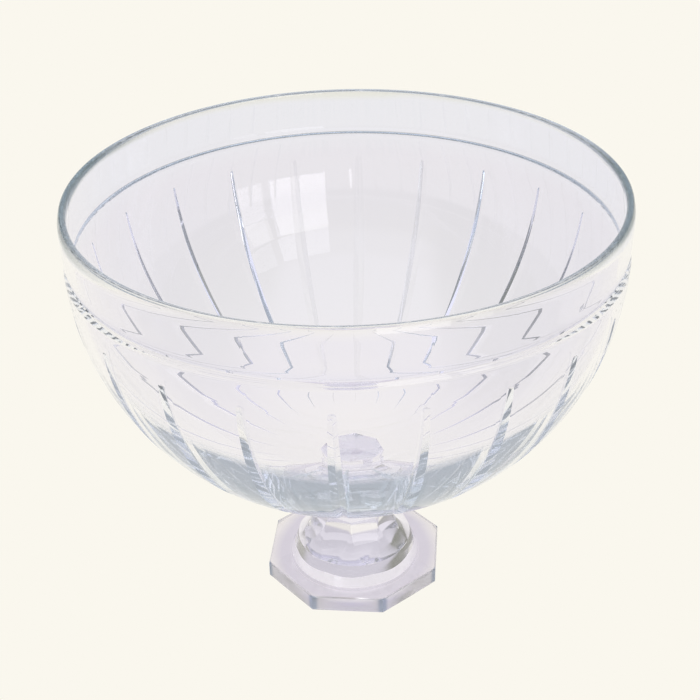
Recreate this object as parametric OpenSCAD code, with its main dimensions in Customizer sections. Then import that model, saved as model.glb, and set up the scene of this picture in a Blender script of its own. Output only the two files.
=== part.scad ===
// Footed glass trifle bowl: a round fluted bowl bonded to an octagonal pressed foot.
// The origin is the centre of the foot's underside. +Z is up, and the flats of the
// foot's plate face X and Y.

/* [Bowl] */
// Outer diameter of the rim, and of the round body at its widest
bowl_d = 250; // [220:1:280]
// Height of the plain band, from the ring notch up to the rim
band_h = 21.7; // [16:0.1:34]
// Glass thickness at the rim
rim_wall = 4; // [3.5:0.1:5]
// Glass thickness at the bottom of the bowl
base_wall = 10; // [8:0.5:14]
// Angle from straight down, below which the glass grows thicker towards the bottom
base_polar = 70; // [60:1:80]
// Radius of the flat ground under the bowl, which takes the foot
seat_r = 18.5; // [18:0.5:21]

/* [Band] */
// Height of the ring notch above the body's widest level, and of the band's foot above the notch
shoulder_h = 2.5; // [2.3:0.1:4]
// Radius of the two rounded shoulders that turn in to the notch
shoulder_r = 6; // [5:0.1:6.4]
// Distance below the body's widest level at which its shoulder starts
shoulder_drop = 2.6; // [2.2:0.1:4]
// Lean of the body's shoulder where it meets the notch
body_lean = 38; // [28:1:40]
// Lean of the band's shoulder where it meets the notch
band_lean = 30.5; // [24:0.5:32]
// Radius of the band's slight barrel curve
barrel_r = 230; // [160:5:400]
// Radius of the curve that draws the band in under the rim
lip_r = 15; // [10:0.5:18]
// Radius of the rim's rounded edge
edge_r = 1.6; // [1.4:0.1:1.7]

/* [Flutes] */
// Number of flutes round the body
flute_count = 22; // [12:1:24]
// Width of a flute where it is deepest
flute_w = 6.1; // [4:0.1:6.4]
// Depth of a flute where it is deepest
flute_depth = 1.76; // [1.2:0.02:2]
// Angle from straight down at which the flutes are deepest
flute_mid = 58; // [54:1:64]
// Distance that the centre of a flute's sweep lies behind the body's centre
flute_shift = 8; // [6:0.1:10.2]
// Plain glass between the ring notch and the tops of the flutes
flute_gap = 15; // [8:0.5:20]
// Turn of the first flute from the front, towards +X
flute_turn = 2.3; // [0:0.1:16]

/* [Foot] */
// Height of the foot, from the table to the bond
foot_h = 59.4; // [52:0.1:75]
// Width of the octagonal plate across its flats
plate_w = 83.8; // [78:0.2:96]
// Height of the plate's eight sides
plate_h = 8; // [6:0.5:10]
// Slope of the plate's eight upper faces, up to the collar
plate_slope = 16; // [8:1:18]
// Size of the bevel round the plate's upper edge
plate_bevel = 0.6; // [0.3:0.1:1.2]
// Diameter of the round collar, level with the top of the plate's sides
collar_d = 63; // [60:0.2:66]
// Diameter of the collar at its top
collar_top_d = 56.6; // [52:0.2:58]
// Height of the collar's top above the table
collar_z = 17; // [16.5:0.1:22]
// Height above the table at which the stem starts to spread
flare_z = 34.5; // [30:0.5:40]
// Radius of the hollow facets between the stem and the collar
flare_r = 40; // [30:1:90]
// Width of the octagonal stem across its flats
stem_w = 30.5; // [24:0.5:32]
// Depth to which each hollow facet cuts into the collar's upper edge
facet_bite = 0.3; // [0.2:0.1:0.8]
// Distance that the turned curve between the facets starts outside the stem's corners
ridge_margin = 0.3; // [0.2:0.1:0.8]
// Diameter of the round recess under the plate
recess_d = 62; // [40:1:68]
// Depth of the recess
recess_h = 2.5; // [1:0.1:4]

/* [Bond] */
// Thickness of the clear bond between the stem and the bowl
bond_t = 0.2; // [0.1:0.05:0.4]
// Distance the bond stays back from the stem's edges
bond_inset = 0.8; // [0.4:0.1:2]

/* [Hidden] */
$fn = 128;
sides = 8;
overrun = 1;
run_out = 2;
lip_bite = 0.03;
rim_r = bowl_d / 2;
seat_z = foot_h + bond_t;
body_z = seat_z + sqrt(pow(rim_r, 2) - pow(seat_r, 2));
ring_z = body_z + shoulder_h;
rim_z = ring_z + band_h;
bore_r = rim_r - rim_wall;
lip_reach = lip_r - edge_r + lip_bite;
lip_z = rim_z - edge_r - sqrt(pow(lip_reach, 2) - pow(lip_r + edge_r - rim_wall, 2));
lip_lean = acos((lip_r + edge_r - rim_wall) / lip_reach);
band_low_z = ring_z + shoulder_h;
band_low_r = rim_r - barrel_r + sqrt(pow(barrel_r, 2) - pow(lip_z - band_low_z, 2));
notch_low_z = body_z - shoulder_drop + shoulder_r * sin(body_lean);
notch_top_z = band_low_z - shoulder_r * sin(band_lean);
shoulder_start_r = sqrt(pow(rim_r, 2) - pow(shoulder_drop, 2));
notch_r = shoulder_start_r - shoulder_r + shoulder_r * cos(body_lean);
ring_bore_r = bore_r - rim_r + band_low_r;
base_low = rim_r - base_wall;
base_rise = (pow(bore_r, 2) - pow(base_low, 2)) / (base_low - bore_r * cos(base_polar)) / 2;
flute_spread = flute_w / 2 / flute_depth;
flute_tip_r = rim_r + flute_shift - flute_depth;
flute_cut = flute_depth + overrun;
flute_top = acos((flute_gap - shoulder_h + flute_w / 4) / rim_r);
flute_reach = acos((pow(flute_tip_r, 2) - pow(rim_r, 2) - pow(flute_shift, 2)) / (2 * rim_r * flute_shift));
flute_end = flute_mid - flute_reach - run_out;
plate_rise = tan(plate_slope);
collar_top_r = collar_top_d / 2;
corner_r = stem_w / 2 / cos(180 / sides);

// Turn, about the centre of a flute's sweep, of the body's surface at an angle from straight down
function flute_turn_at(polar) = atan2(
    rim_r * sin(polar) + flute_shift * sin(flute_mid),
    rim_r * cos(polar) + flute_shift * cos(flute_mid)
);

// Centre of the hollow curve from a half width at the stem down to one at the collar
function hollow_centre(top_r, low_r) =
    let (run = low_r - top_r, drop = flare_z - collar_z)
    let (chord = norm([run, drop]))
    let (reach = sqrt(pow(flare_r, 2) - pow(chord / 2, 2)))
    [(top_r + low_r) / 2 + reach * drop / chord, (flare_z + collar_z) / 2 + reach * run / chord];

// A disc kept to the heights from_z to to_z, on the outer side of the axis
module arc_strip(centre_r, centre_z, radius, from_z, to_z) {
    intersection() {
        translate([centre_r, centre_z]) circle(radius);
        translate([0, from_z]) square([centre_r + radius, to_z - from_z]);
    }
}

// Half outline of the bowl's outside: round body, the two shoulders, band, lip and rolled rim
module outside() {
    shoulder_z = body_z - shoulder_drop;
    core_r = band_low_r - shoulder_r;
    arc_strip(0, body_z, rim_r, seat_z, shoulder_z);
    arc_strip(shoulder_start_r - shoulder_r, shoulder_z, shoulder_r, shoulder_z - overrun, notch_low_z);
    translate([0, shoulder_z - overrun]) square([notch_r, band_low_z - shoulder_z + overrun * 2]);
    arc_strip(core_r, band_low_z, shoulder_r, notch_top_z, band_low_z + overrun);
    arc_strip(rim_r - barrel_r, lip_z, barrel_r, band_low_z, lip_z);
    arc_strip(rim_r - lip_r, lip_z, lip_r, lip_z - overrun, rim_z - edge_r);
    translate([bore_r + edge_r, rim_z - edge_r]) {
        circle(edge_r);
        intersection() {
            translate([0, -edge_r]) square([rim_wall, edge_r + (edge_r - lip_bite) * sin(lip_lean)]);
            translate([rim_wall - edge_r - lip_r, lip_z - rim_z + edge_r]) circle(lip_r);
        }
    }
}

// Half outline of the bowl's inside: it follows the outside, with thicker glass towards the bottom
module inside() {
    intersection() {
        arc_strip(0, body_z, bore_r, seat_z, body_z);
        translate([0, body_z + base_rise]) circle(base_low + base_rise);
        polygon([
            [0, seat_z],
            [bore_r, seat_z],
            [bore_r, body_z - shoulder_drop],
            [ring_bore_r, body_z],
            [0, body_z]
        ]);
    }
    translate([0, body_z - overrun]) square([ring_bore_r, band_low_z - body_z + overrun * 2]);
    arc_strip(bore_r - barrel_r, lip_z, barrel_r, band_low_z, lip_z + overrun);
    translate([0, lip_z]) square([bore_r, rim_z - lip_z + overrun]);
}

// One mitre flute down the front of the body, deepest at its middle: a sloped nose at its top, and
// a lower end that runs out to a point
module flute() {
    half_w = flute_cut * flute_spread;
    top = flute_turn_at(flute_top);
    end = flute_turn_at(flute_end);
    section = [
        [flute_tip_r, 0],
        [flute_tip_r + flute_cut, half_w],
        [flute_tip_r + flute_cut, -half_w]
    ];
    translate([0, flute_shift * sin(flute_mid), body_z + flute_shift * cos(flute_mid)])
        rotate([0, 90, 180])
            difference() {
                rotate([0, 0, end])
                    rotate_extrude(angle = top - end + asin(half_w / flute_tip_r))
                        polygon(section);
                rotate([0, 0, top])
                    translate([flute_tip_r, 0, 0])
                        rotate([0, 0, atan(flute_spread)])
                            translate([-half_w, 0, -half_w * 2])
                                cube([half_w * 3, half_w * 2, half_w * 4]);
            }
}

module bowl() {
    color([0.86, 0.90, 0.91, 0.5])
        difference() {
            rotate_extrude() outside();
            rotate_extrude() inside();
            for (i = [0 : flute_count - 1])
                rotate([0, 0, flute_turn + i * 360 / flute_count]) flute();
        }
}

// An upright octagonal bar of a given width across its flats, with a corner on +X
module octagon_bar(width, height) {
    cylinder(h = height, d = width / cos(180 / sides), $fn = sides);
}

// The octagonal plate, whose upper faces rise to the collar
module plate() {
    difference() {
        rotate([0, 0, 180 / sides]) octagon_bar(plate_w, collar_z);
        for (i = [0 : sides - 1])
            rotate([0, 0, i * 360 / sides]) {
                translate([plate_w / 2, 0, plate_h])
                    rotate([0, plate_slope, 0])
                        translate([-plate_w, -plate_w / 2, 0]) cube([plate_w * 2, plate_w, plate_w]);
                translate([plate_w / 2 - plate_bevel, 0, plate_h + plate_bevel * plate_rise])
                    rotate([0, 45, 0])
                        translate([0, -plate_w / 2, 0]) cube([plate_h, plate_w, plate_h]);
            }
    }
}

// The spread of the stem: eight hollow facets that run out into a round, turned curve
module flare() {
    flat_low_r = collar_top_r - facet_bite;
    flat_centre = hollow_centre(stem_w / 2, flat_low_r);
    ridge_centre = hollow_centre(corner_r + ridge_margin, collar_top_r);
    intersection() {
        difference() {
            octagon_bar(flat_low_r * 2, flare_z);
            for (i = [0 : sides - 1])
                rotate([0, 0, (i + 1 / 2) * 360 / sides])
                    translate([flat_centre[0], 0, flat_centre[1]])
                        rotate([90, 0, 0])
                            cylinder(h = collar_d, r = flare_r, center = true);
        }
        rotate_extrude()
            difference() {
                translate([0, collar_z]) square([collar_top_r, flare_z - collar_z]);
                translate(ridge_centre) circle(flare_r);
            }
    }
}

module foot() {
    color([0.90, 0.88, 0.94, 0.5])
        difference() {
            union() {
                plate();
                translate([0, 0, plate_h])
                    cylinder(h = collar_z - plate_h, d1 = collar_d, d2 = collar_top_d);
                flare();
                octagon_bar(stem_w, foot_h);
            }
            translate([0, 0, -overrun]) cylinder(h = recess_h + overrun, d = recess_d);
        }
}

module bond() {
    color([0.92, 0.95, 0.96, 0.4])
        translate([0, 0, foot_h]) octagon_bar(stem_w - bond_inset * 2, bond_t);
}

bowl();
foot();
bond();
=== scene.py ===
"""Looks of a footed glass trifle bowl: a fluted bowl bonded to an octagonal pressed foot."""

import math

import bpy
from mathutils import Matrix, Vector


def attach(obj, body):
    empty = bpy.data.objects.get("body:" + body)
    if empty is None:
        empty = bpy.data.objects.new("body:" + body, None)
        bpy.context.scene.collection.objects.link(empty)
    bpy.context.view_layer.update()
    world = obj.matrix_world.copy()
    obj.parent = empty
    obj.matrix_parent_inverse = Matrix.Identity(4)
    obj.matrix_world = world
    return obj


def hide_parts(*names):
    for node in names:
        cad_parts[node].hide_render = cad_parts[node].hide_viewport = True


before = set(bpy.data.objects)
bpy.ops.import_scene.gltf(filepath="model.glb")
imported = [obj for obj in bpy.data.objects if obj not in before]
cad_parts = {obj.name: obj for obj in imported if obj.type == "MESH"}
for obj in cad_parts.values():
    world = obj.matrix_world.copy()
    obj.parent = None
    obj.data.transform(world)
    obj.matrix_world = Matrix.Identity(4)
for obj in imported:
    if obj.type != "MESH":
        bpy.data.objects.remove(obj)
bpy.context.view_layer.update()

# Sizes in metres, as in the part's source
RIM_R = 0.125
BAND_H = 0.0217
RIM_WALL = 0.004
BASE_WALL = 0.010
BASE_POLAR = math.radians(70)
SEAT_R = 0.0185
SHOULDER_H = 0.0025
SHOULDER_R = 0.006
FLUTES = 22
FLUTE_W = 0.0061
FLUTE_DEPTH = 0.00176
FLUTE_MID = math.radians(58)
FLUTE_SHIFT = 0.0080
FLUTE_GAP = 0.015
FLUTE_TURN = math.radians(2.3)
FOOT_H = 0.0594
PLATE_W = 0.0838
PLATE_H = 0.008
PLATE_BEVEL = 0.0006
PLATE_RISE = math.tan(math.radians(16))
COLLAR_R = 0.0315
COLLAR_TOP_R = 0.0283
COLLAR_Z = 0.017
FLARE_Z = 0.0345
FLARE_R = 0.040
STEM_W = 0.0305
FACET_BITE = 0.0003
RIDGE_MARGIN = 0.0003
RECESS_D = 0.062
RECESS_H = 0.0025
BOND_T = 0.0002

BARREL_R = 0.23
LIP_R = 0.015
EDGE_R = 0.0016
LIP_BITE = 0.00003
SHOULDER_DROP = 0.0026
BODY_LEAN = math.radians(38)
BAND_LEAN = math.radians(30.5)

SEAT_Z = FOOT_H + BOND_T
BODY_Z = SEAT_Z + math.sqrt(RIM_R**2 - SEAT_R**2)
RING_Z = BODY_Z + SHOULDER_H
RIM_Z = RING_Z + BAND_H
BORE_R = RIM_R - RIM_WALL
LIP_REACH = LIP_R - EDGE_R + LIP_BITE
LIP_Z = RIM_Z - EDGE_R - math.sqrt(LIP_REACH**2 - (LIP_R + EDGE_R - RIM_WALL) ** 2)
LIP_LEAN = math.acos((LIP_R + EDGE_R - RIM_WALL) / LIP_REACH)
EDGE_START = LIP_LEAN - math.acos((LIP_R**2 - LIP_REACH**2 - EDGE_R**2) / (2 * LIP_REACH * EDGE_R))
LIP_END = LIP_LEAN - math.asin(EDGE_R * math.sin(LIP_LEAN - EDGE_START) / LIP_R)
BAND_LOW_Z = RING_Z + SHOULDER_H
BAND_LOW_R = RIM_R - BARREL_R + math.sqrt(BARREL_R**2 - (LIP_Z - BAND_LOW_Z) ** 2)
RING_BORE_R = BORE_R - RIM_R + BAND_LOW_R
FLUTE_SPREAD = FLUTE_W / 2 / FLUTE_DEPTH
FLUTE_TIP_R = RIM_R + FLUTE_SHIFT - FLUTE_DEPTH
FLUTE_IN = FLUTE_SHIFT * math.sin(FLUTE_MID)
FLUTE_UP = FLUTE_SHIFT * math.cos(FLUTE_MID)

# Steps and small supports of the modelled surfaces
HALF = math.pi / FLUTES
SIDE_STEPS = (0.0, 0.2, 0.4, 0.6, 0.8, 1.0)
GROOVE_STEPS = (0.25, 0.5, 0.75, 1.0)
SHOULDER_STEPS = (0.04, 0.16, 0.32, 0.48, 0.64, 0.80, 0.94, 1.0)
NOSE_WAYS = [math.radians(a) for a in (12, 26, 40, 54, 68, 80)]
GROOVE_EDGE = 0.0023
SUPPORT = 0.00025
SUPPORT_MOST = 0.3
SEAT_RINGS = (0.0, 0.006, 0.012, SEAT_R - 0.0002, SEAT_R)
SEAT_EDGE_TURN = 0.0016
LOW_START_TURN = 0.01
LOW_GAP = math.radians(0.8)
NOSE_GAP = math.radians(1.6)
BARREL_EDGE = 0.0001
BARREL_START = 0.0005
BORE_START = 0.0003
FLUTE_SEARCH = (0.1, 0.14)
NOSE_SEARCH = (0.0, 0.012)
LOW_STEPS, FLUTE_STEPS, TOP_STEPS = 3, 48, 4
BARREL_STEPS, LIP_STEPS, EDGE_STEPS = 8, 10, 28
BORE_STEPS, INNER_BARREL_STEPS, RING_STEPS, INNER_STEPS = 3, 12, 4, 60
FACE = math.tau / 8
FLARE_STEPS = 24
FACE_STEPS = [FACE * i / 24 for i in range(25)]
MERGE, SLIVER = 2e-6, 1e-7
BOWL_CREASE, FOOT_CREASE = math.radians(7), math.radians(12)
SOLVE_ROUNDS = 50


def flute_turn_at(polar):
    """Turn about a flute's own centre of the body's surface at an angle from straight down."""
    return math.atan2(RIM_R * math.sin(polar) + FLUTE_IN, RIM_R * math.cos(polar) + FLUTE_UP)


FLUTE_TOP_POLAR = math.acos((FLUTE_GAP - SHOULDER_H + FLUTE_W / 4) / RIM_R)
FLUTE_REACH = math.acos(
    (FLUTE_TIP_R**2 - RIM_R**2 - FLUTE_SHIFT**2) / (2 * RIM_R * FLUTE_SHIFT)
)
FLUTE_END_POLAR = FLUTE_MID - FLUTE_REACH
FLUTE_TOP = flute_turn_at(FLUTE_TOP_POLAR)
FLUTE_END = flute_turn_at(FLUTE_END_POLAR)


def steps(start, end, count):
    """count + 1 even steps from start to end."""
    return [start + (end - start) * i / count for i in range(count + 1)]


# Modelling

def wedge_piece(name, rows, count, turn, crease):
    """A closed piece from one wedge, whose rows run round its wall, copied round the axis."""
    bpy.ops.object.select_all(action="DESELECT")
    bpy.ops.mesh.primitive_grid_add(
        x_subdivisions=len(rows[0]) - 1, y_subdivisions=len(rows) - 1, size=1
    )
    piece = bpy.context.object
    piece.name = name
    points = [p for row in rows for p in row]
    assert len(points) == len(piece.data.vertices), (len(points), len(piece.data.vertices))
    spun = Matrix.Rotation(turn, 3, "Z")
    for vertex, point in zip(piece.data.vertices, points):
        vertex.co = spun @ Vector(point)
    bpy.ops.object.mode_set(mode="EDIT")
    bpy.ops.mesh.select_all(action="SELECT")
    bpy.ops.mesh.spin(
        steps=count - 1,
        dupli=True,
        angle=math.tau * (count - 1) / count,
        center=(0, 0, 0),
        axis=(0, 0, 1),
    )
    bpy.ops.mesh.select_all(action="SELECT")
    bpy.ops.mesh.remove_doubles(threshold=MERGE)
    bpy.ops.mesh.dissolve_degenerate(threshold=SLIVER)
    bpy.ops.mesh.select_all(action="SELECT")
    bpy.ops.mesh.normals_make_consistent(inside=False)
    bpy.ops.object.mode_set(mode="OBJECT")
    bpy.ops.object.shade_smooth_by_angle(angle=crease)
    return piece


def solve(test, low, high):
    """The place between low and high at which the rising test passes zero."""
    for _ in range(SOLVE_ROUNDS):
        middle = (low + high) / 2
        if test(middle) < 0:
            low = middle
        else:
            high = middle
    return (low + high) / 2


def mirrored(right):
    """A full row of a wedge from its middle point and its right half."""
    return [(-x, y, z) for x, y, z in reversed(right[1:])] + right


def plain_row(radius, height):
    """A row that lies on a turned surface."""
    edge = GROOVE_EDGE / RIM_R
    angles = [0.0] + [edge * u for u in GROOVE_STEPS]
    support = edge + SUPPORT / RIM_R
    angles += [support + (HALF - support) * v for v in SIDE_STEPS]
    return mirrored([(radius * math.sin(a), -radius * math.cos(a), height) for a in angles])


def sphere_row(polar):
    """A plain row of the round body, at an angle from straight down."""
    return plain_row(RIM_R * math.sin(polar), BODY_Z - RIM_R * math.cos(polar))


def with_side(groove, outer_polar):
    """A fluted row: the groove's points, then the round body out to the wedge's edge."""
    x, y, z = groove[-1]
    edge_angle = math.atan2(x, -y)
    edge_polar = math.acos(max(-1.0, min(1.0, (BODY_Z - z) / RIM_R)))
    reach = HALF - edge_angle
    first = min(SUPPORT_MOST, SUPPORT / (RIM_R * math.sin(edge_polar) * reach))
    right = list(groove)
    for v in SIDE_STEPS:
        share = first + (1 - first) * v
        angle = edge_angle + reach * share
        polar = edge_polar + (outer_polar - edge_polar) * share
        r = RIM_R * math.sin(polar)
        height = BODY_Z - RIM_R * math.cos(polar)
        right.append((r * math.sin(angle), -r * math.cos(angle), height))
    return mirrored(right)


def outer_polar(turn, along):
    """Angle from straight down of the body's surface, along a flute from the place at a turn."""
    y, z = math.sin(turn), -math.cos(turn)

    def at(q):
        return q * y - along * z - FLUTE_IN, FLUTE_UP + q * z + along * y

    def outside(q):
        out, up = at(q)
        return out**2 + up**2 - RIM_R**2

    out, up = at(solve(outside, *FLUTE_SEARCH))
    return math.atan2(out, -up)


def nose_row(turn, way):
    """A row across a flute. way is 0 along the flute, and turns to a right angle round its nose."""
    y, z = math.sin(turn), -math.cos(turn)

    def at(x, s):
        q = FLUTE_TIP_R + math.hypot(x, s) / FLUTE_SPREAD
        return (x, -(q * y - s * z - FLUTE_IN), BODY_Z + FLUTE_UP + q * z + s * y)

    def outside(t):
        px, py, pz = at(t * math.cos(way), t * math.sin(way))
        return px**2 + py**2 + (pz - BODY_Z) ** 2 - RIM_R**2

    t = solve(outside, *NOSE_SEARCH)
    wide, along = t * math.cos(way), t * math.sin(way)
    groove = [at(wide * u, along) for u in (0.0, *GROOVE_STEPS)]
    return with_side(groove, outer_polar(turn, along))


BASE_LOW = RIM_R - BASE_WALL
BASE_UP = (BORE_R**2 - BASE_LOW**2) / (2 * BASE_LOW - 2 * BORE_R * math.cos(BASE_POLAR))
BASE_ROUND = BASE_LOW + BASE_UP
WALL_BLEND = 0.0003


def wall(polar):
    """Thickness of the round body at an angle from straight down: even, then thicker to the base."""
    across = math.sqrt(BASE_ROUND**2 - (BASE_UP * math.sin(polar)) ** 2)
    more = RIM_R - (across - BASE_UP * math.cos(polar)) - RIM_WALL
    return RIM_WALL + (more + math.hypot(more, WALL_BLEND)) / 2


def arc_rows(centre_r, centre_z, radius, turns):
    """Plain rows on a round of a half section, at the turns up from level."""
    return [
        plain_row(centre_r + radius * math.cos(a), centre_z + radius * math.sin(a)) for a in turns
    ]


def barrel_row(middle_r, height):
    """A plain row on the band's barrel, whose widest radius is middle_r."""
    return plain_row(middle_r - BARREL_R + math.sqrt(BARREL_R**2 - (LIP_Z - height) ** 2), height)


def bowl_rows():
    """The bowl's wall, from the middle of its seat, over the rim and to the middle of its inside."""
    rows = [plain_row(r, SEAT_Z) for r in SEAT_RINGS]
    seat_polar = math.asin(SEAT_R / RIM_R)
    low = steps(seat_polar + LOW_START_TURN, FLUTE_END_POLAR - LOW_GAP, LOW_STEPS)
    rows += [sphere_row(p) for p in [seat_polar + SEAT_EDGE_TURN] + low]
    rows += [nose_row(turn, 0.0) for turn in steps(FLUTE_END, FLUTE_TOP, FLUTE_STEPS)]
    rows += [nose_row(FLUTE_TOP, way) for way in NOSE_WAYS]
    top_polar = math.acos(SHOULDER_DROP / RIM_R)
    rows += [sphere_row(p) for p in steps(FLUTE_TOP_POLAR + NOSE_GAP, top_polar, TOP_STEPS)]
    body_inset = RIM_R * math.sin(top_polar) - SHOULDER_R
    body_turns = [BODY_LEAN * s for s in SHOULDER_STEPS]
    rows += arc_rows(body_inset, BODY_Z - SHOULDER_DROP, SHOULDER_R, body_turns)
    band_turns = [-BAND_LEAN * s for s in reversed(SHOULDER_STEPS)]
    rows += arc_rows(BAND_LOW_R - SHOULDER_R, BAND_LOW_Z, SHOULDER_R, band_turns)
    heights = steps(BAND_LOW_Z + BARREL_START, LIP_Z, BARREL_STEPS)
    rows += [barrel_row(RIM_R, z) for z in [BAND_LOW_Z + BARREL_EDGE] + heights]
    rows += arc_rows(RIM_R - LIP_R, LIP_Z, LIP_R, steps(0, LIP_END, LIP_STEPS)[1:])
    edge_z = RIM_Z - EDGE_R
    rows += arc_rows(BORE_R + EDGE_R, edge_z, EDGE_R, steps(EDGE_START, math.pi, EDGE_STEPS)[1:])
    rows += [plain_row(BORE_R, z) for z in steps(edge_z - BORE_START, LIP_Z, BORE_STEPS)]
    rows += [barrel_row(BORE_R, z) for z in steps(LIP_Z, BAND_LOW_Z, INNER_BARREL_STEPS)[1:]]
    rows += [plain_row(RING_BORE_R, z) for z in steps(BAND_LOW_Z, BODY_Z, RING_STEPS)[1:]]
    for polar in steps(math.acos(SHOULDER_DROP / BORE_R), 0, INNER_STEPS):
        inner_r = RIM_R - wall(polar)
        rows += [plain_row(inner_r * math.sin(polar), BODY_Z - inner_r * math.cos(polar))]
    return rows


def octagon_row(apothem, height, corner, radius=1.0):
    """A row on an octagon whose corner is at the share corner of a wedge, kept within a radius."""
    row = []
    for a in FACE_STEPS:
        off = (a - corner * FACE + FACE) % FACE - FACE / 2
        r = min(apothem / math.cos(off), radius)
        row.append((r * math.sin(a), -r * math.cos(a), height))
    return row


def round_row(radius, height):
    """A row of the foot that lies on a turned surface."""
    return [(radius * math.sin(a), -radius * math.cos(a), height) for a in FACE_STEPS]


def hollow(top, low):
    """The hollow curve, of the flare's radius, from one point of a half section down to another."""
    run, drop = low[0] - top[0], top[1] - low[1]
    chord = math.hypot(run, drop)
    reach = math.sqrt(FLARE_R**2 - chord**2 / 4)
    x = (top[0] + low[0]) / 2 + reach * drop / chord
    z = (top[1] + low[1]) / 2 + reach * run / chord
    return lambda height: x - math.sqrt(FLARE_R**2 - (height - z) ** 2)


def foot_rows():
    """The foot's wall, from the middle of its top, down the stem, over the plate to the recess."""
    stem = STEM_W / 2
    ridge_r = stem / math.cos(FACE / 2) + RIDGE_MARGIN
    flat = hollow((stem, FLARE_Z), (COLLAR_TOP_R - FACET_BITE, COLLAR_Z))
    ridge = hollow((ridge_r, FLARE_Z), (COLLAR_TOP_R, COLLAR_Z))
    rows = [round_row(0.0, FOOT_H)]
    rows += [octagon_row(stem, z, 0) for z in (FOOT_H, (FOOT_H + FLARE_Z) / 2, FLARE_Z)]
    for z in steps(FLARE_Z, COLLAR_Z, FLARE_STEPS)[1:]:
        rows += [octagon_row(flat(z), z, 0, ridge(z))]
    rows += [round_row(COLLAR_TOP_R, COLLAR_Z)]
    lean = (COLLAR_Z - PLATE_H) / (COLLAR_R - COLLAR_TOP_R)
    low = []
    for a in FACE_STEPS:
        across = math.cos((a + FACE / 2) % FACE - FACE / 2)
        r = (lean * COLLAR_R - PLATE_RISE * PLATE_W / 2) / (lean - PLATE_RISE * across)
        low.append((r * math.sin(a), -r * math.cos(a), PLATE_H + lean * (COLLAR_R - r)))
    rows += [low]
    bevel_z = PLATE_H + PLATE_RISE * PLATE_BEVEL
    rows += [octagon_row(PLATE_W / 2 - PLATE_BEVEL, bevel_z, 0.5)]
    rows += [octagon_row(PLATE_W / 2, z, 0.5) for z in (bevel_z - PLATE_BEVEL, 0.0)]
    rows += [round_row(RECESS_D / 2, z) for z in (0.0, RECESS_H)]
    rows += [round_row(0.0, RECESS_H)]
    return rows


# Materials

class Wire:
    """One socket of a material's nodes, on which plain arithmetic adds Math nodes."""

    def __init__(self, tree, socket):
        self.tree, self.socket = tree, socket

    def node(self, kind, settings=None, links=None, out=0):
        """A new node, from its settings and then the values or links of its sockets."""
        made = self.tree.nodes.new(kind)
        for key, value in (settings or {}).items():
            if key == "stops":
                elements = made.color_ramp.elements
                while len(elements) < len(value):
                    elements.new(1.0)
                for element, (position, colour) in zip(elements, value):
                    element.position = position
                    element.color = (*colour, 1)
            else:
                setattr(made, key, value)
        for key, value in (links or {}).items():
            if isinstance(value, Wire):
                self.tree.links.new(value.socket, made.inputs[key])
            else:
                made.inputs[key].default_value = value
        return Wire(self.tree, made.outputs[out])

    def math(self, operation, first, second):
        return self.node("ShaderNodeMath", {"operation": operation}, {0: first, 1: second})

    def __add__(self, other): return self.math("ADD", self, other)
    __radd__ = __add__

    def __sub__(self, other): return self.math("SUBTRACT", self, other)
    def __rsub__(self, other): return self.math("SUBTRACT", other, self)

    def __mul__(self, other): return self.math("MULTIPLY", self, other)
    __rmul__ = __mul__

    def split(self):
        """The X, Y and Z of a vector."""
        outputs = self.node("ShaderNodeSeparateXYZ", None, {0: self}).socket.node.outputs
        return [Wire(self.tree, output) for output in outputs]

    def length(self):
        """The length of a vector."""
        return self.node("ShaderNodeVectorMath", {"operation": "LENGTH"}, {0: self}, out=1)

    def fade(self, limits, run="SMOOTHSTEP"):
        """A value that runs from 0 at the first limit to 1 at the second."""
        settings = {"interpolation_type": run}
        return self.node("ShaderNodeMapRange", settings, {0: self, 1: limits[0], 2: limits[1]})

    def mix(self, first, second):
        """The first colour where this value is 0 and the second where it is 1."""
        return self.node("ShaderNodeMixRGB", None, {0: self, 1: first, 2: second})

    def ramp(self, stops):
        """A colour that runs through the stops, each a value and a colour."""
        return self.node("ShaderNodeValToRGB", {"stops": stops}, {0: self})

    def noise(self, scale, detail):
        """Cloudy noise on a vector."""
        return self.node("ShaderNodeTexNoise", None, {"Vector": self, "Scale": scale, "Detail": detail})


def start_material(name):
    """A new material with only a shader and its output, and a wire on its object coordinates."""
    made = bpy.data.materials.new(name)
    made.use_nodes = True
    tree = made.node_tree
    shader = next(n for n in tree.nodes if n.type == "BSDF_PRINCIPLED")
    place = tree.nodes.new("ShaderNodeTexCoord")
    return made, tree, shader, Wire(tree, place.outputs["Object"])


# Tints of the glass, each at its height. The bowl's back tints are darker and bluer, painted shade on
# its back half; the foot's run darker and more lavender towards the bottom
TINT_SCALE = 4.0
BOWL_FRONT_TINTS = (
    (0.060, (0.975, 0.970, 1.000)),
    (0.110, (0.975, 0.970, 1.000)),
    (0.150, (0.985, 0.975, 1.000)),
    (0.172, (0.980, 0.968, 1.000)),
    (0.184, (0.975, 0.965, 1.000)),
    (0.190, (0.985, 0.976, 1.000)),
    (0.203, (0.985, 0.976, 1.000)),
    (0.206, (0.975, 0.965, 0.930)),
)
# Painted shade: the back half of the bowl is darker and bluer than the front
BOWL_BACK_TINTS_AND_SHADE = (
    (0.060, (0.970, 0.960, 0.995)),
    (0.070, (0.940, 0.940, 0.992)),
    (0.078, (0.895, 0.890, 0.982)),
    (0.100, (0.875, 0.880, 0.980)),
    (0.150, (0.850, 0.850, 0.965)),
    (0.173, (0.855, 0.850, 0.965)),
    (0.188, (0.875, 0.890, 1.000)),
    (0.203, (0.875, 0.890, 1.000)),
    (0.206, (0.860, 0.870, 0.860)),
)
FOOT_TINTS = (
    (0.004, (0.880, 0.857, 0.910)),
    (0.020, (0.930, 0.918, 0.945)),
    (0.035, (0.980, 0.975, 0.985)),
)
# Painted shade: the dark colour put on the rim at the sides
RIM_PAINTED_SHADE = (0.12, 0.18, 0.185, 1)
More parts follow.
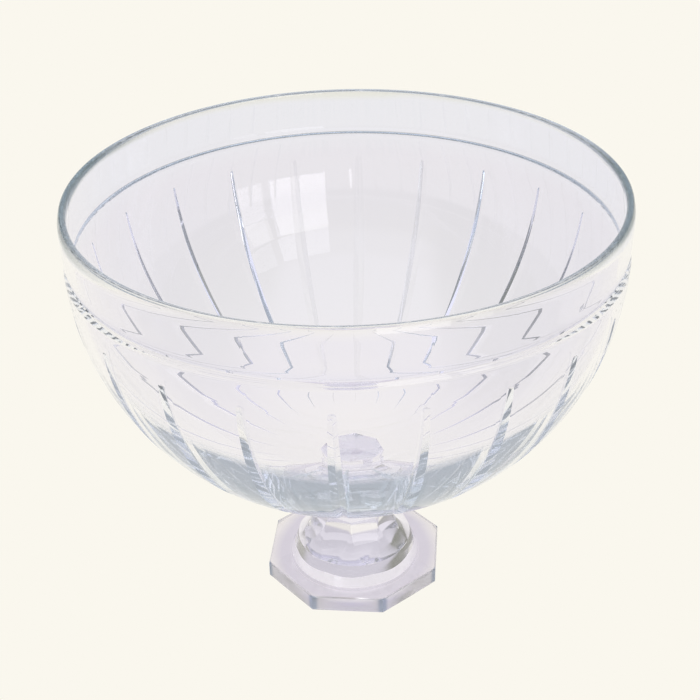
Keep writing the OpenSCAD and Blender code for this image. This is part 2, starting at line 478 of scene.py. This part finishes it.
# Painted shade: the dark colour put on the ring line at the back
RING_PAINTED_SHADE = (0.27, 0.29, 0.29, 1)
STREAK_TINT = (0.76, 0.81, 0.86, 1)
# Painted shade: the dark blue colour put on the plate's upright corners
CORNER_PAINTED_SHADE = (0.28, 0.36, 0.50, 1)

# Where each tint and each painted shade starts and is full
BACK_SHADE_FADE = (-0.06, 0.05)
RIM_SIDE_SQUARE = (0.0050, 0.0150)
RIM_AHEAD = (0.085, 0.020)
RIM_TOP = (0.2030, 0.2050)
RING_BACK = (0.0, 0.05)
RING_OVER = (RING_Z - 0.0019, RING_Z - 0.0015)
RING_UNDER = (RING_Z - 0.0009, RING_Z - 0.0013)
STREAK_FINE = (0.42, 0.62)
STREAK_LOW = (0.130, 0.120)
STREAK_FRONT = (-0.050, -0.075)
PLATE_OUTER = (PLATE_W / 2 - 0.0014, PLATE_W / 2 - 0.0007)
PLATE_UNDER = (PLATE_H + 0.0003, PLATE_H + 0.0001)
PLATE_OVER = (0.0001, 0.0004)
PLATE_CORNER = (0.0440, 0.0449)

CLOUD_SCALE, CLOUD_DETAIL, CLOUD_LIFT = 14.0, 2.0, 0.008
STREAK_SCALE, STREAK_DETAIL, STREAK_STRETCH = 260.0, 3.0, 0.06
PLATE_SOFTNESS = 0.4
GLASS_INDEX = 1.5
# Share of each colour that a metre of glass takes, and the colour of the painted light that it glows
# with inside, so that thick glass tends to that colour
BOWL_SOAK, BOWL_DEPTH_GLOW = (4.0, 3.6, 3.3), (0.57, 0.67, 0.80)
FOOT_SOAK, FOOT_DEPTH_GLOW = (2.0, 2.0, 1.8), (0.55, 0.54, 0.60)


def height_tint(height, tints):
    """A colour that runs through the tints, each at its own height."""
    return (height * TINT_SCALE).ramp([(level * TINT_SCALE, colour) for level, colour in tints])


def bowl_painted_shade_and_streaks(tint_and_shade, x, y, z, height):
    """Paints shade on the rim at the sides and on the ring line at the back, and streaks the low front.
    """
    # Painted shade on the rim at the sides
    rim_shade = (x * x).fade(RIM_SIDE_SQUARE) * y.fade(RIM_AHEAD) * height.fade(RIM_TOP, "LINEAR")
    tint_and_shade = rim_shade.mix(tint_and_shade, RIM_PAINTED_SHADE)
    # Painted shade on the ring line at the back
    ring_shade = z.fade(RING_OVER, "LINEAR") * z.fade(RING_UNDER, "LINEAR") * y.fade(RING_BACK)
    tint_and_shade = ring_shade.mix(tint_and_shade, RING_PAINTED_SHADE)
    angle = x.math("ARCTAN2", x, y)
    along = x.node("ShaderNodeCombineXYZ", None, {0: angle * RIM_R, 2: height * STREAK_STRETCH})
    streak = along.noise(STREAK_SCALE, STREAK_DETAIL).fade(STREAK_FINE)
    return (streak * height.fade(STREAK_LOW) * y.fade(STREAK_FRONT)).mix(tint_and_shade, STREAK_TINT), 0.0


def foot_softness_and_painted_shade(tint_and_shade, x, y, z, height):
    """Softens the plate's upright sides and paints shade on their corners."""
    reach = x.node("ShaderNodeCombineXYZ", None, {0: x, 1: y}).length()
    upright = z.fade(PLATE_UNDER, "LINEAR") * z.fade(PLATE_OVER, "LINEAR")
    softness = reach.fade(PLATE_OUTER, "LINEAR") * upright * PLATE_SOFTNESS
    # Painted shade on the corners of the plate's upright sides
    return (reach.fade(PLATE_CORNER) * upright).mix(tint_and_shade, CORNER_PAINTED_SHADE), softness


def polished_glass(name, front_tints, back_tints_and_shade, shade_and_finish, soak, depth_glow):
    """Clear glass, tinted by height, with painted shade where its back tints are darker than its front,
    whose colour deepens with thickness, and which glows inside with painted light.
    """
    made, tree, shader, place = start_material(name)
    x, y, z = place.split()
    height = z + place.noise(CLOUD_SCALE, CLOUD_DETAIL) * CLOUD_LIFT - CLOUD_LIFT / 2
    front, back = height_tint(height, front_tints), height_tint(height, back_tints_and_shade)
    # Painted shade: the back half takes the darker back tints
    tint_and_shade, roughness = shade_and_finish(y.fade(BACK_SHADE_FADE).mix(front, back), x, y, z, height)
    tree.links.new(tint_and_shade.socket, shader.inputs["Base Color"])
    if isinstance(roughness, Wire):
        tree.links.new(roughness.socket, shader.inputs["Roughness"])
    else:
        shader.inputs["Roughness"].default_value = roughness
    shader.inputs["IOR"].default_value = GLASS_INDEX
    shader.inputs["Transmission Weight"].default_value = 1.0
    most = max(soak)
    absorb = tree.nodes.new("ShaderNodeVolumeAbsorption")
    absorb.inputs["Color"].default_value = (*[1 - s / most for s in soak], 1)
    absorb.inputs["Density"].default_value = most
    # Painted light: the glass glows inside, more where it is thicker
    glow = tree.nodes.new("ShaderNodeEmission")
    glow.inputs["Color"].default_value = (*[s * c for s, c in zip(soak, depth_glow)], 1)
    both = tree.nodes.new("ShaderNodeAddShader")
    tree.links.new(absorb.outputs[0], both.inputs[0])
    tree.links.new(glow.outputs[0], both.inputs[1])
    output = next(n for n in tree.nodes if n.type == "OUTPUT_MATERIAL")
    tree.links.new(both.outputs[0], output.inputs["Volume"])
    return made


FILM_COLOUR, FILM_ROUGHNESS = (0.93, 0.94, 0.97, 1), 0.2
FILM_ALPHA, FILM_CLOUD = 0.02, 0.05
FILM_SCALE, FILM_DETAIL = 120.0, 3.0


def clear_film(name):
    """A thin film of cured adhesive, nearly unseen, with a faint cloudiness."""
    made, tree, shader, place = start_material(name)
    alpha = place.noise(FILM_SCALE, FILM_DETAIL) * FILM_CLOUD + FILM_ALPHA
    tree.links.new(alpha.socket, shader.inputs["Alpha"])
    shader.inputs["Base Color"].default_value = FILM_COLOUR
    shader.inputs["Roughness"].default_value = FILM_ROUGHNESS
    return made


bowl_glass = polished_glass(
    "bowl_glass", BOWL_FRONT_TINTS, BOWL_BACK_TINTS_AND_SHADE, bowl_painted_shade_and_streaks, BOWL_SOAK, BOWL_DEPTH_GLOW
)
foot_glass = polished_glass(
    "foot_glass", FOOT_TINTS, FOOT_TINTS, foot_softness_and_painted_shade, FOOT_SOAK, FOOT_DEPTH_GLOW
)
clear_bond = clear_film("clear_bond")

bowl = wedge_piece("bowl_body", bowl_rows(), FLUTES, FLUTE_TURN, BOWL_CREASE)
foot = wedge_piece("foot_body", foot_rows(), 8, 0.0, FOOT_CREASE)
for piece, node, glass in ((bowl, "bowl", bowl_glass), (foot, "foot", foot_glass)):
    piece.data.materials.clear()
    piece.data.materials.append(glass)
    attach(piece, "root")
    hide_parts(node)
    node + "_glass"
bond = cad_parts["bond"]
bond.data.materials.clear()
bond.data.materials.append(clear_bond)

# Stage: a pale floor with a soft ring of shade under the foot

CREAM = (0.956, 0.930, 0.855)
FLOOR_SIZE, FLOOR_Z = 400, -0.0005
FLOOR_SCALE = 10.0
FLOOR_RINGS = (
    (0.26, (0.95, 0.93, 0.93)),
    (0.32, (0.765, 0.735, 0.77)),
    (0.36, (0.765, 0.735, 0.77)),
    (0.425, CREAM),
)
bpy.ops.object.select_all(action="DESELECT")
bpy.ops.mesh.primitive_plane_add(size=FLOOR_SIZE, location=(0, 0, FLOOR_Z))
floor = bpy.context.object
floor.name = "floor"
cream = bpy.data.materials.new("cream_floor")
cream.use_nodes = True
cream.node_tree.nodes.clear()
floor_glow = cream.node_tree.nodes.new("ShaderNodeEmission")
floor_place = cream.node_tree.nodes.new("ShaderNodeTexCoord")
away = Wire(cream.node_tree, floor_place.outputs["Object"]).length()
shade = (away * FLOOR_SCALE).ramp(FLOOR_RINGS)
cream.node_tree.links.new(shade.socket, floor_glow.inputs["Color"])
cream_out = cream.node_tree.nodes.new("ShaderNodeOutputMaterial")
cream.node_tree.links.new(floor_glow.outputs[0], cream_out.inputs["Surface"])
floor.data.materials.append(cream)

# Light: a soft room, pale to just over the horizon, light behind and darker at the sides

HORIZON, WALL_START = 0.055, 0.085
FRONT_LEVELS = (
    (HORIZON, CREAM),
    (WALL_START, (0.48, 0.465, 0.42)),
    (0.47, (0.52, 0.50, 0.45)),
    (0.54, (1.02, 1.00, 1.06)),
    (0.85, (1.10, 1.06, 1.14)),
)
BACK_LEVELS = (
    (HORIZON, CREAM),
    (WALL_START, (0.66, 0.64, 0.70)),
    (0.30, (0.60, 0.58, 0.64)),
    (0.60, (0.68, 0.66, 0.72)),
    (0.90, (1.00, 0.97, 1.04)),
)
LEFT_LEVELS = (
    (HORIZON, CREAM),
    (WALL_START, (0.21, 0.215, 0.180)),
    (0.60, (0.25, 0.255, 0.215)),
    (0.85, (0.80, 0.78, 0.83)),
)
RIGHT_LEVELS = (
    (HORIZON, CREAM),
    (WALL_START, (0.37, 0.370, 0.325)),
    (0.60, (0.41, 0.410, 0.360)),
    (0.85, (0.80, 0.78, 0.83)),
)
ROOM_BACK = (-0.25, 0.25)
ROOM_RIGHT = (-0.1, 0.1)
ROOM_SIDE_SQUARE = (0.24, 0.44)
scene = bpy.context.scene
world = bpy.data.worlds.new("studio")
scene.world = world
world.use_nodes = True
nodes, links = world.node_tree.nodes, world.node_tree.links
nodes.clear()
coords = nodes.new("ShaderNodeTexCoord")
way_x, way_y, way_z = Wire(world.node_tree, coords.outputs["Generated"]).split()
room = way_y.fade(ROOM_BACK).mix(way_z.ramp(FRONT_LEVELS), way_z.ramp(BACK_LEVELS))
flanks = way_x.fade(ROOM_RIGHT, "LINEAR").mix(way_z.ramp(LEFT_LEVELS), way_z.ramp(RIGHT_LEVELS))
room = (way_x * way_x).fade(ROOM_SIDE_SQUARE).mix(room, flanks)
back = nodes.new("ShaderNodeBackground")
links.new(room.socket, back.inputs["Color"])
out = nodes.new("ShaderNodeOutputWorld")
links.new(back.outputs[0], out.inputs["Surface"])

# Upright softboxes at the front, to the right of the camera: turn from the front, half width, level
SOFTBOXES = (
    ("wide_softbox", math.radians(28), math.radians(13), 2.0),
    ("narrow_softbox", math.radians(51), math.radians(6), 1.3),
)
BOX_AWAY, BOX_H, BOX_Z = 2.0, 1.30, 0.66
BOX_COLOUR = (1.0, 0.99, 0.98)
for name, box_turn, half_width, strength in SOFTBOXES:
    lamp = bpy.data.lights.new(name, "AREA")
    lamp.shape = "RECTANGLE"
    lamp.size, lamp.size_y = 2 * BOX_AWAY * math.tan(half_width), BOX_H
    lamp.energy = strength * math.pi * lamp.size * lamp.size_y
    lamp.color = BOX_COLOUR
    box = bpy.data.objects.new(name, lamp)
    scene.collection.objects.link(box)
    box.location = (BOX_AWAY * math.sin(box_turn), -BOX_AWAY * math.cos(box_turn), BOX_Z)
    box.rotation_euler = (math.radians(90), 0.0, box_turn)

# Camera at the photograph's angle
AZIMUTH, ELEVATION, ROLL = math.radians(5.6665), math.radians(30.9019), math.radians(-1.4311)
DISTANCE, FOCUS_PX, IMAGE_PX = 0.622884, 1327.768, 700
SENSOR, CLIP_START = 36, 0.01
AIM = Vector((0.000119, 0.0, 0.123994))
turn = Matrix.Rotation(AZIMUTH, 3, "Z")
back_way = turn @ Vector((0, -math.cos(ELEVATION), math.sin(ELEVATION)))
level = turn @ Vector((1, 0, 0))
rise = back_way.cross(level)
right_way = math.cos(ROLL) * level + math.sin(ROLL) * rise
up_way = -math.sin(ROLL) * level + math.cos(ROLL) * rise
camera = bpy.data.objects.new("camera", bpy.data.cameras.new("camera"))
scene.collection.objects.link(camera)
camera.data.sensor_width = SENSOR
camera.data.lens = SENSOR * FOCUS_PX / IMAGE_PX
camera.data.clip_start = CLIP_START
camera.matrix_world = Matrix((right_way, up_way, back_way)).transposed().to_4x4()
camera.location = turn @ AIM + DISTANCE * back_way
scene.camera = camera

scene.view_settings.view_transform = "Standard"
scene.cycles.max_bounces = 40
scene.cycles.transmission_bounces = 40
scene.cycles.glossy_bounces = 16
scene.cycles.transparent_max_bounces = 16
